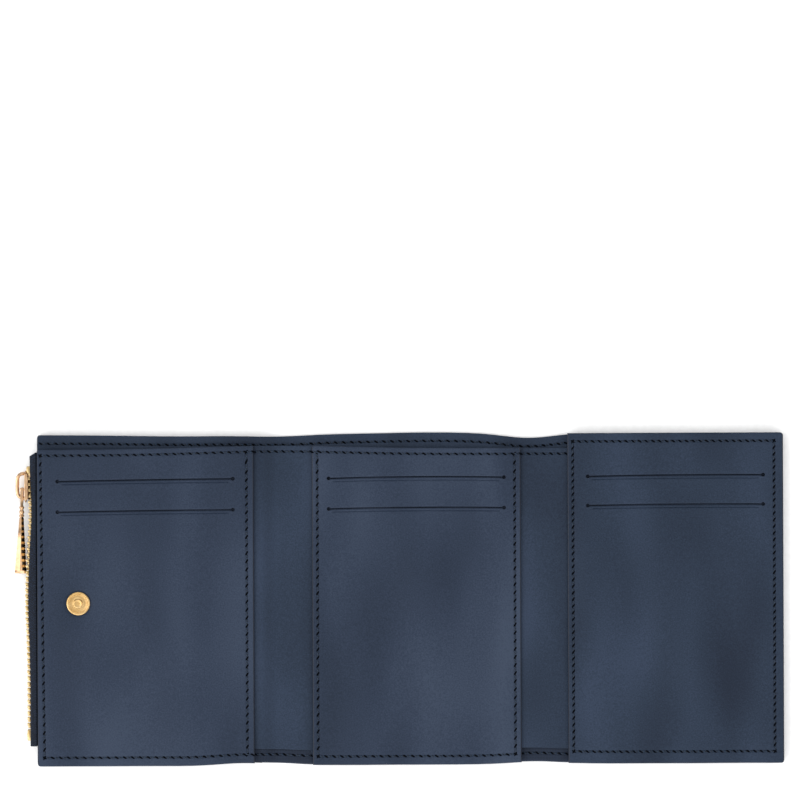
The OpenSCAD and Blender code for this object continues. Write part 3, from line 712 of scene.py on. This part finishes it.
class Panel:
    """A card panel with two slits, each (middle y, rise from left to right, bow at its middle)."""

    def __init__(self, side, slits, frame_rows, low_z, snap=None):
        self.side, self.slits, self.rows, self.snap = side, slits, frame_rows, snap
        (self.x0, self.y0, self.z0), (self.x1, self.y1, self.z1) = span("card_panel_" + side)
        self.mid = (self.x0 + self.x1) / 2
        self.low_z = low_z

    def slit_y(self, slit, x):
        y, climb, bow = slit
        t = (x - self.mid) / (SLIT_LEN / 2)
        return y + climb * t / 2 + bow * (1 - t * t)

    def top(self, x, y):
        z = self.z1 - furrow(x, y, self.rows)
        level = smooth(min(x - self.x0, self.x1 - x) / 6)
        if self.snap:
            r = math.hypot(x - self.snap[0], y - self.snap[1])
            level *= smooth((r - 3.5) / 7)
            z -= 0.3 * bell(r - 4.0, 0.4)
        z += swell(x, y) * level
        u = abs(x - self.mid)
        for slit in self.slits:
            d = y - slit[0]
            if abs(d) < 3 and u < SLIT_LEN / 2 + 2:
                within = 1 - smooth((u - SLIT_LEN / 2 + 0.3) / 0.8)
                lip = SLIT_HALF_W if u < SLIT_LEN / 2 else 0
                z -= 0.2 * bell(max(0, abs(d) - lip), 0.22) * within
                # The lower lip bears against a card's edge and stands a little proud
                z += 0.14 * bell(d + 0.55, 0.32) * within
                creased = 1 - smooth((u - SLIT_LEN / 2 + 1.6) / 0.6)
                z -= 0.24 * bell(d + CREASE_DROP, 0.16) * creased
        return z

    def bottom(self, x, y):
        d = min(x - self.x0, self.x1 - x, y - self.y0, self.y1 - y)
        return self.low_z + (self.z0 - self.low_z) * smooth((d - 0.3) / 0.9)

    def shift(self, x, y):
        """Carries the grid's lines along with the slits."""
        near = sum(bell(y - s[0], 3.5) * (self.slit_y(s, x) - s[0]) for s in self.slits)
        inside = smooth((min(x - self.x0, self.x1 - x) - 1) / 4)
        if self.side == "right":
            return x, y + near * inside + hem_shift(x, y)
        x, y_front = front_shift(x, y)
        return x, y_front + near * inside

    def make(self, free, rounded):
        dense_y = [(s[0] - 1.6, s[0] + 0.8, 0.14) for s in self.slits]
        dense_x = [(self.mid - SLIT_LEN / 2 - 1, self.mid - SLIT_LEN / 2 + 2, 0.3),
                   (self.mid + SLIT_LEN / 2 - 2, self.mid + SLIT_LEN / 2 + 1, 0.3)]
        for x0, y0, x1, y1, _ in self.rows:
            if abs(x1 - x0) < abs(y1 - y0):
                dense_x.append((min(x0, x1) - 0.75, max(x0, x1) + 0.75, 0.25))
            else:
                dense_y.append((y0 - 0.75, y0 + 0.75, 0.25))
        if self.snap:
            dense_x.append((self.snap[0] - 5, self.snap[0] + 5, 0.4))
            dense_y.append((self.snap[1] - 5, self.snap[1] + 5, 0.4))
        skin = Leaf((self.x0, self.x1), (self.y0, self.y1), self.top, self.bottom, free, 0.35, rounded,
                    step=1.5, dense_x=dense_x, dense_y=dense_y, shift=self.shift)
        # The right panel takes the darker copy of the leather, as painted shade
        piece = skin.shape().build("card_panel_" + self.side + "_skin",
                                   [SHADED_CALF if self.side == "right" else CALF, EDGE_AND_SHADE_LINE])
        self.cut(piece)
        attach(piece, {"left": "left_wing", "centre": "centre", "right": "right_wing"}[self.side])
        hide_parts("card_panel_" + self.side)

    def cut(self, piece):
        """Cuts the slits with their punched ends."""
        blades = Shape()
        turn = math.asin(SLIT_HALF_W / PUNCH_R)
        for slit in self.slits:
            outline = []
            for side in (1, -1):
                cx = self.mid + side * SLIT_LEN / 2
                for k in range(15):
                    a = -math.pi + turn + (2 * math.pi - 2 * turn) * k / 14
                    outline.append((cx + side * PUNCH_R * math.cos(a),
                                    self.slit_y(slit, cx) + side * PUNCH_R * math.sin(a)))
                reach = PUNCH_R * math.cos(turn)
                for k in range(1, 24):
                    x = cx - side * (reach + (SLIT_LEN - 2 * reach) * k / 24)
                    outline.append((x, self.slit_y(slit, x) + side * SLIT_HALF_W))
            blades.loft([[(x, y, z) for x, y in outline] for z in (self.low_z - 0.2, self.z1 + 1)], 1)
        carve(piece, blades.build("slit_blade", [EDGE_AND_SHADE_LINE]))


snap_low, snap_high = span("snap_stud")
SNAP = ((snap_low[0] + snap_high[0]) / 2, (snap_low[1] + snap_high[1]) / 2)
LEFT_LOW_Z = LEAF_Z + LEAF_T + COIN_LIFT + 0.02
LOW_Z = LEAF_Z + LEAF_T + 0.02
left_skin = Panel("left", ((38.8, 0.7, 0.1), (28.8, 0.6, 0.1)), LEFT_FRAME, LEFT_LOW_Z, SNAP)
centre_skin = Panel("centre", ((39.2, 0.2, 0.35), (29.3, 0.2, 0.3)), CENTRE_FRAME, LOW_Z)
right_skin = Panel("right", ((39.6, 0.35, 0.2), (30.1, 0.3, 0.2)), RIGHT_FRAME, LOW_Z)
left_skin.make("lrbt", corners((left_skin.x0 + 1,), (left_skin.y0 + 1, left_skin.y1 - 1)))
centre_skin.make("lrbt", ())
right_skin.make("lrbt", corners((right_skin.x1 - 1,), (right_skin.y0 + 1, right_skin.y1 - 1)))


# ---- Sewing ----

THREAD_R = 0.23
# Half of an awl's cut, on rows along the wallet and on rows up it
AWL_ALONG = (0.7, -0.42)
AWL_UP = (0.48, 0.72)
AWL_HALF_W = 0.3


def sew(shape, row, height, shift):
    """Stitches along a row, each between two awl cuts, on a skin with this height and shift."""
    x0, y0, x1, y1, pitch = row
    length = math.hypot(x1 - x0, y1 - y0)
    count = max(1, round(length / pitch))
    dx, dy = (x1 - x0) / length, (y1 - y0) / length
    lean = AWL_ALONG if abs(dx) > 0.5 else AWL_UP
    pitch = length / count

    def on_skin(x, y, lift):
        return (*shift(x, y), height(x, y) + lift)

    for i in range(count + 1):
        cx, cy = x0 + dx * pitch * i, y0 + dy * pitch * i
        reach = math.hypot(*lean)
        side = (-lean[1] / reach * AWL_HALF_W, lean[0] / reach * AWL_HALF_W)
        ring = []
        for along, across in ((1, 0), (0.5, 0.85), (-0.4, 1), (-1, 0), (-0.5, -0.85), (0.4, -1)):
            ring.append((cx + lean[0] * along + side[0] * across, cy + lean[1] * along + side[1] * across))
        shape.loft([[on_skin(x, y, lift) for x, y in ring] for lift in (-0.15, 0.05)], 1)
        if i == count:
            break
        path = []
        for t, lift in ((0.1, -0.16), (0.25, 0.04), (0.5, 0.1), (0.75, 0.04), (0.9, -0.16)):
            across = 0.2 * (1 - 2 * t)
            path.append(on_skin(cx + dx * pitch * t - dy * across, cy + dy * pitch * t + dx * across, lift))
        shape.tube(path, THREAD_R, 6)


def part_of(row, x0, x1):
    """The stretch of a row between two x positions, kept in step with its stitches."""
    return (x0, row[1], x1, row[3], row[4])


def sewing(name, rows, bodies, bend=None, replaced=None):
    """One piece of sewing: rows of (row, height, shift), fixed to one body, or left unfixed where it crosses
    a fold.
    """
    shape = Shape()
    for row, height, shift in rows:
        sew(shape, row, height, shift)
    piece = shape.build(name, [THREAD, AWL], 60)
    if bend:
        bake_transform(piece)
    else:
        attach(piece, bodies)
    if replaced:
        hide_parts(replaced)


CROSSING = (
    (FACING_ROW, facing_top, sagging), (LEAF_ROW, leaf_top_z, front_shift), (HEM_ROW, lining_top, sagging),
)


def crossing(x0, x1):
    """The stretches of the three rows that cross a spine, between two x positions."""
    return [(part_of(row, x0, x1), height, shift) for row, height, shift in CROSSING]


def on_panel(skin, rows):
    return [(row, skin.top, skin.shift) for row in rows]


def on_facing(x0, x1):
    return [(part_of(FACING_ROW, x0, x1), facing_top, sagging)]


sewing("sewing_left", on_panel(left_skin, LEFT_FRAME) + on_facing(ROW_LEFT, left_panel[1][0]), "left_wing",
       replaced="thread_left")
sewing("sewing_left_outer_fold", crossing(left_panel[1][0] + 0.2, LEFT_CUT), ("left_wing", "left_spine"),
       BEND_LEFT_B, "thread_left_spine")
sewing("sewing_left_inner_fold", crossing(LEFT_CUT, centre_panel[0][0] - 0.2), ("left_spine", "centre"),
       BEND_LEFT_A)
sewing("sewing_centre",
       on_panel(centre_skin, CENTRE_FRAME) + on_facing(centre_panel[0][0], centre_panel[1][0]),
       "centre", replaced="thread_centre")
sewing("sewing_right_inner_fold", crossing(centre_panel[1][0] + 0.2, RIGHT_CUT), ("centre", "right_spine"),
       BEND_RIGHT_A, "thread_right_spine")
sewing("sewing_right_outer_fold", crossing(RIGHT_CUT, right_panel[0][0] - 0.4), ("right_spine", "right_wing"),
       BEND_RIGHT_B)
sewing("sewing_right", on_panel(right_skin, RIGHT_FRAME), "right_wing", replaced="thread_right")


# ---- Coin pocket ----

gusset_low, gusset_high = span("coin_gusset")
GUSSET_WALL = 1.6
for name, x, y in (
    ("gusset_top", (gusset_low[0], gusset_high[0]), (HALF_H - GUSSET_WALL, HALF_H)),
    ("gusset_bottom", (gusset_low[0], gusset_high[0]), (-HALF_H, -HALF_H + GUSSET_WALL)),
    ("gusset_side", (gusset_high[0] - GUSSET_WALL, gusset_high[0]), (-HALF_H + 2, HALF_H - 2)),
):
    strip = Leaf(x, y, lambda x, y: gusset_high[2] - 0.03, lambda x, y: gusset_low[2] + 0.03, "lrbt", 0.3, (),
                 shift=sagging).shape().build(name, [PARED, EDGE_AND_SHADE_LINE])
    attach(strip, "left_wing")
    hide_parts("coin_gusset")


# ---- Zip ----

stop_low, stop_high = span("zip_bottom_stop")
CHAIN_X = (stop_low[0] + stop_high[0]) / 2
ZIP_Z = (stop_low[2] + stop_high[2]) / 2
CHAIN_HALF = stop_high[2] - ZIP_Z
TOOTH_PITCH = 1.9
TAPE_T = 0.4


def rounded_path(points, r):
    """The path with its corners turned into short curves."""
    path = [points[0]]
    for a, b, c in zip(points, points[1:], points[2:]):
        into = Vector(b) + (Vector(a) - Vector(b)).normalized() * r
        out = Vector(b) + (Vector(c) - Vector(b)).normalized() * r
        for k in range(5):
            t = k / 4
            path.append(tuple(into * (1 - t) ** 2 + Vector(b) * 2 * t * (1 - t) + out * t * t))
    return path + [points[-1]]


def bow(y):
    """How far the chain bows in and out. The slider runs straight, so its plates clip the teeth."""
    return 0.6 * bell(y - 28, 10) - 0.6 * bell(y, 13)


LEG_X = CHAIN_X + 0.45


def zip_tape(side, node):
    """One tape: stitched flat inside the pocket, and folded round to the chain outside it."""
    low, high = span(node)
    hold = (high[2] - low[2]) / 2
    inside_z = low[2] + TAPE_T / 2 if side > 0 else high[2] - TAPE_T / 2
    outside_z = high[2] - TAPE_T / 2 if side > 0 else low[2] + TAPE_T / 2
    path = rounded_path([
        (high[0], inside_z), (LEFT_EDGE - 0.4, inside_z), (LEFT_EDGE - 0.4, outside_z),
        (LEG_X, outside_z), (LEG_X, ZIP_Z + side * (CHAIN_HALF - 0.4)),
    ], min(0.38, hold))
    ring = []
    for way in (1, -1):
        run = path if way > 0 else path[::-1]
        for i, p in enumerate(run):
            a, b = run[max(i - 1, 0)], run[min(i + 1, len(run) - 1)]
            along = (Vector(b) - Vector(a)).normalized()
            ring.append((p[0] - along.y * TAPE_T / 2, p[1] + along.x * TAPE_T / 2))
    rings = []
    count = 64
    for i in range(count + 1):
        t = i / count
        points = []
        for x, z in ring:
            # The tape's top end is cut on a slant and turned under
            end = high[1] - 1.2 * smooth((LEFT_EDGE - x) / 2.6)
            y = low[1] + (end - low[1]) * t
            free = smooth((LEFT_EDGE - 0.3 - x) / 1.2)
            points.append((x + (bow(y) + 0.05 * math.sin(y / 5.1 + side)) * free, y, z))
        rings.append(points)
    shape = Shape()
    shape.loft(rings)
    piece = shape.build(node + "_cloth", [TAPE], 50)
    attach(piece, "left_wing")
    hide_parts(node)


# A tooth's body, its two legs and its head, as x from and to, half its length, and z from and to
TOOTH = (
    (-0.8, 0.8, 0.42, 0.75, 1.45),
    (-0.8, 0.22, 0.42, 1.2, CHAIN_HALF + 0.06),
    (0.6, 0.92, 0.42, 1.2, CHAIN_HALF - 0.1),
    (-0.55, 0.55, 0.34, 0.24, 0.85),
)


def zip_teeth(side, node, shift):
    """A row of cast teeth, each with two legs closed on the tape and a head that meets the other row."""
    low, high = span(node)
    shape = Shape()
    y = low[1] + shift + 0.5
    while y < high[1] - 0.4:
        middle = CHAIN_X + bow(y)
        for x0, x1, half_y, z0, z1 in TOOTH:
            z0, z1 = sorted((ZIP_Z + side * z0, ZIP_Z + side * z1))
            shape.block((middle + x0, y - half_y, z0), (middle + x1, y + half_y, z1), 0.15)
        y += TOOTH_PITCH
    piece = shape.build(node + "_cast", [TEETH])
    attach(piece, "left_wing")
    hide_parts(node)


zip_tape(-1, "zip_tape_outer")
zip_tape(1, "zip_tape_inner")
zip_teeth(-1, "zip_teeth_outer", 0)
zip_teeth(1, "zip_teeth_inner", TOOTH_PITCH / 2)

stops = Shape()
top_low, top_high = span("zip_top_stops")
for side in (-1, 1):
    z0, z1 = sorted((ZIP_Z + side * 0.5, ZIP_Z + side * CHAIN_HALF))
    stops.block((top_low[0], top_low[1], z0), (top_high[0], top_high[1], z1), 0.25)
top_stops = stops.build("zip_top_stops_cast", [TEETH])
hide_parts("zip_top_stops")
clamp = Shape()
clamp.block(stop_low, stop_high, 0.3)
# A rib round the middle, where the clamp was pressed shut
clamp.block((stop_low[0] - 0.12, stop_low[1] + 1.2, ZIP_Z - 1.5),
            (stop_high[0] + 0.12, stop_high[1] - 1.2, ZIP_Z + 1.5), 0.1)
bottom_stop = clamp.build("zip_bottom_stop_cast", [TEETH])
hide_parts("zip_bottom_stop")
for piece in (top_stops, bottom_stop):
    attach(piece, "left_wing")


# ---- Zip slider and pull ----

slider_low, slider_high = span("zip_slider")
PLATE_T = 0.6
PLATE_X = CHAIN_X - 0.8 - 0.06 - PLATE_T
INNER_X = CHAIN_X + 1.0
PLATE_HALF = 2.8


def plate(shape, x0, x1, half):
    """Slider plate, rounded in outline: widest at its mouth and narrower where the closed chain leaves."""
    low, high = slider_low[1], slider_high[1]
    middle = (low + high) / 2
    outline = []
    count = 18
    for side in (1, -1):
        for i in range(count + 1):
            t = i / count if side > 0 else 1 - i / count
            round_off = (1 - abs(2 * t - 1) ** 7) ** (1 / 3)
            width = half * (0.82 + 0.18 * smooth(t * 1.4)) * max(round_off, 0.45)
            outline.append((low + (high - low) * t, side * width))
    rings = []
    for x, scale in ((x0, 0.93), (x0 + 0.15, 1), (x1 - 0.15, 1), (x1, 0.93)):
        rings.append([(x, middle + (y - middle) * scale, ZIP_Z + z * scale) for y, z in outline])
    shape.loft(rings)


slider = Shape()
plate(slider, PLATE_X, PLATE_X + PLATE_T, PLATE_HALF)
plate(slider, INNER_X, INNER_X + PLATE_T, CHAIN_HALF)
slider.block((PLATE_X + 0.1, slider_high[1] - 3, ZIP_Z - 0.2),
             (INNER_X + PLATE_T - 0.1, slider_high[1] - 0.2, ZIP_Z + 0.2), 0.08)
for side in (-1, 1):
    z0, z1 = sorted((ZIP_Z + side * (PLATE_HALF - 0.4), ZIP_Z + side * PLATE_HALF * 0.99))
    slider.block((PLATE_X + 0.05, slider_low[1] + 0.9, z0),
                 (PLATE_X + PLATE_T + 0.4, slider_high[1] - 0.9, z1), 0.12)
STRAP = 0.58
bridge_x = slider_low[0] + STRAP
bridge_ends = slider_high[1] - 0.9, slider_high[1] - 9.0
bridge = rounded_path([
    (PLATE_X + 0.25, bridge_ends[0]), (bridge_x, bridge_ends[0]), (bridge_x, bridge_ends[1]),
    (PLATE_X + 0.25, bridge_ends[1]),
], 2.3)
slider.tube([(x, y, ZIP_Z) for x, y in bridge], (STRAP, 0.5), 12)
slider_piece = slider.build("zip_slider_cast", [GOLD], 35)
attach(slider_piece, "slider")
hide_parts("zip_slider")

hang = next(j for j in frame["joints"] if j["name"] == "pull_swing")["pos_m"]
HANG = [v / MM for v in hang]
PULL_TILT = math.radians(1.2)
ARM, COLLAR = 5.5, 3.5
PULL_LEN = 27.3
pull = Shape()
pull.tube([(0, 0, z) for z in (-1.4, -1.33, 0, 1.33, 1.4)], 0.45, 16)
for side in (-1, 1):
    # An arm with a round eye about the crossbar, drawn in to the collar at its lower end
    pull.lathe([(0.4, side * 0.84), (0.66, side * 0.9), (0.66, side * 1.25), (0.5, side * 1.35)][::side],
               (0, 0, 0), "z", 28)
    arm = []
    for y, half, inner, outer in ((0.1, 0.4, 0.9, 1.3), (-0.5, 0.5, 0.86, 1.34), (-2.6, 0.5, 0.8, 1.28),
                                  (-4.4, 0.44, 0.4, 0.95), (-ARM - 0.2, 0.42, 0.05, 0.7)):
        inner, outer = (inner, outer) if side > 0 else (-outer, -inner)
        arm.append([(half - 0.12, y, inner), (half, y, inner + 0.12), (half, y, outer - 0.12),
                    (half - 0.12, y, outer), (0.12 - half, y, outer), (-half, y, outer - 0.12),
                    (-half, y, inner + 0.12), (0.12 - half, y, inner)])
    pull.loft(arm)
pull.lathe([
    (0.35, ARM - 0.1), (0.62, ARM), (0.8, ARM + 0.25), (0.8, ARM + 0.5), (0.64, ARM + 0.75),
    (0.56, ARM + 1.0), (0.6, ARM + 1.25), (0.78, ARM + 1.55), (0.84, ARM + 1.85), (0.78, ARM + 2.15),
    (0.6, ARM + 2.45), (0.62, ARM + 2.65), (0.8, ARM + 2.85), (0.86, ARM + 3.1), (0.8, ARM + 3.35),
    (0.55, ARM + 3.5),
], (0, 0, 0), "y", 40)
bar = []
# Where the bar's sections lie, and how far each is drawn in sideways and flattened
for t, narrow, flat in ((0, 0.75, 0.75), (0.03, 1, 1), (0.35, 1, 1), (0.7, 1, 1), (0.95, 1, 1),
                        (0.99, 0.98, 0.3), (1, 0.9, 0.12)):
    half_x = (0.7 + 1.25 * t ** 1.1) * narrow
    half_z = (0.85 + 0.15 * t) * flat
    y = -(ARM + COLLAR - 0.1) - (PULL_LEN - ARM - COLLAR + 0.1) * t
    k = 0.07
    bar.append([
        (-half_x, y, -k), (-half_x, y, k), (-half_x * k, y, half_z), (half_x * k, y, half_z),
        (half_x, y, k), (half_x, y, -k), (half_x * k, y, -half_z), (-half_x * k, y, -half_z),
    ])
pull.loft(bar)
pull.verts = [
    (HANG[0] + x * math.cos(PULL_TILT) + y * math.sin(PULL_TILT),
     HANG[1] - x * math.sin(PULL_TILT) + y * math.cos(PULL_TILT), HANG[2] + z)
    for x, y, z in pull.verts
]
pull_piece = pull.build("zip_pull_cast", [GOLD], 25)
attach(pull_piece, "pull")
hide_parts("zip_pull")


# ---- Snap ----

stud = Shape()
stud.lathe([
    (0, -0.3), (0.9, -0.3), (1.1, -0.02), (3.5, -0.04), (3.76, 0.04), (3.82, 0.16), (3.76, 0.3), (3.58, 0.4),
    (3.35, 0.43), (3.16, 0.38), (3.02, 0.28), (2.6, 0.16), (2.1, 0.1), (1.8, 0.1), (1.55, 0.16), (1.44, 0.3),
    (1.44, 0.7), (1.52, 0.95), (1.62, 1.2), (1.62, 1.42), (1.54, 1.6), (1.4, 1.72), (1.25, 1.77), (1.1, 1.76),
    (1.0, 1.7), (0.5, 1.66), (0, 1.66),
], (SNAP[0], SNAP[1], left_skin.z1), turns=96)
stud_piece = stud.build("snap_stud_turned", [SATIN], 50)
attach(stud_piece, "left_wing")
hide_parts("snap_stud")
cup = Shape()
cup.lathe([
    (0, 1.88), (2.8, 1.88), (2.98, 1.7), (2.98, 0.5), (3.6, 0.46), (3.76, 0.34), (3.8, 0.16), (3.7, 0.03),
    (3.5, 0),
    (2.4, 0), (2.15, 0.04), (1.98, 0.16), (1.92, 0.34), (1.92, 0.58), (2.38, 0.62), (2.38, 1.06), (1.92, 1.1),
    (1.9, 1.5), (0, 1.5),
], (SOCKET[0], SOCKET[1], 0), turns=72)
cup_piece = cup.build("snap_socket_turned", [SATIN], 35)
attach(cup_piece, "right_wing")
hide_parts("snap_socket")

# CAD parts that keep their shape, inside the wallet
for material, nodes in (
    (LINING, ["slot_lining_" + s + h for s in ("left", "centre", "right") for h in ("_upper", "_lower")]),
    (LINING, ["coin_lining_outer", "coin_lining_inner"]),
    (BACKING, ["panel_backing_right"]),
    (SATIN, ["snap_stud_rivet", "snap_socket_cap"]),
    (SPRING, ["snap_socket_spring"]),
):
    for node in nodes:
        part = frame["nodes"][node]
        part.data.materials.clear()
        part.data.materials.append(material)


# ---- Floor, light and camera ----

def paper_floor():
    """Matt white studio paper."""
    material, tree, shader, place = start("matt white paper", Roughness=0.95, Specular_IOR_Level=0.1)
    fibre = add(tree, "TexNoise", {"Scale": per_metre(2)}, {"Vector": place})
    colour = add(tree, "ValToRGB", {"stops": ((0.4, "#f4f4f4"), (0.6, "#f7f7f7"))}, {"Fac": fibre})
    tree.links.new(colour.outputs[0], shader.inputs["Base Color"])
    return material


FLOOR = 3.0
floor_mesh = bpy.data.meshes.new("floor")
floor_mesh.from_pydata([(x * FLOOR, y * FLOOR, -0.05 * MM) for x, y in ((-1, -1), (1, -1), (1, 1), (-1, 1))],
                       [], [(0, 1, 2, 3)])
floor_mesh.materials.append(paper_floor())
floor = bpy.data.objects.new("floor", floor_mesh)
bpy.context.scene.collection.objects.link(floor)

world = bpy.data.worlds.new("studio")
world.use_nodes = True
world.node_tree.nodes["Background"].inputs["Color"].default_value = (1, 1, 1, 1)
world.node_tree.nodes["Background"].inputs["Strength"].default_value = 0.4
bpy.context.scene.world = world


def softbox(name, place, aim, size, watts):
    light = bpy.data.lights.new(name, "AREA")
    light.shape, light.size, light.size_y = "RECTANGLE", *size
    light.energy = watts
    lamp = bpy.data.objects.new(name, light)
    lamp.location = place
    lamp.rotation_euler = (Vector(aim) - Vector(place)).to_track_quat("-Z", "Y").to_euler()
    bpy.context.scene.collection.objects.link(lamp)


softbox("softbox left", (-1.15, -0.2, 0.8), (0, 0, 0), (1.7, 1.6), 22)
softbox("softbox right", (1.1, -0.1, 0.8), (0, 0, 0), (1.2, 1.2), 7)
softbox("softbox near", (0.0, -1.1, 0.8), (0, 0, 0), (1.7, 1.1), 12)
softbox("softbox far", (0.0, 1.1, 1.0), (0, 0, 0), (1.4, 0.9), 5)
softbox("softbox above", (0.0, 0.1, 1.9), (0, 0, 0), (1.6, 1.6), 6)

LENS = 200
FRAME_W = 0.26
SENSOR = 36
camera_data = bpy.data.cameras.new("camera")
camera_data.lens, camera_data.sensor_width = LENS, SENSOR
camera_data.clip_start, camera_data.clip_end = 0.05, 20
camera = bpy.data.objects.new("camera", camera_data)
camera.location = (-0.00517, 0.0645, FRAME_W * LENS / SENSOR + 0.004)
camera.rotation_euler = (0, 0, math.radians(-0.23))
bpy.context.scene.collection.objects.link(camera)
bpy.context.scene.camera = camera
bpy.context.scene.view_settings.view_transform = "Standard"
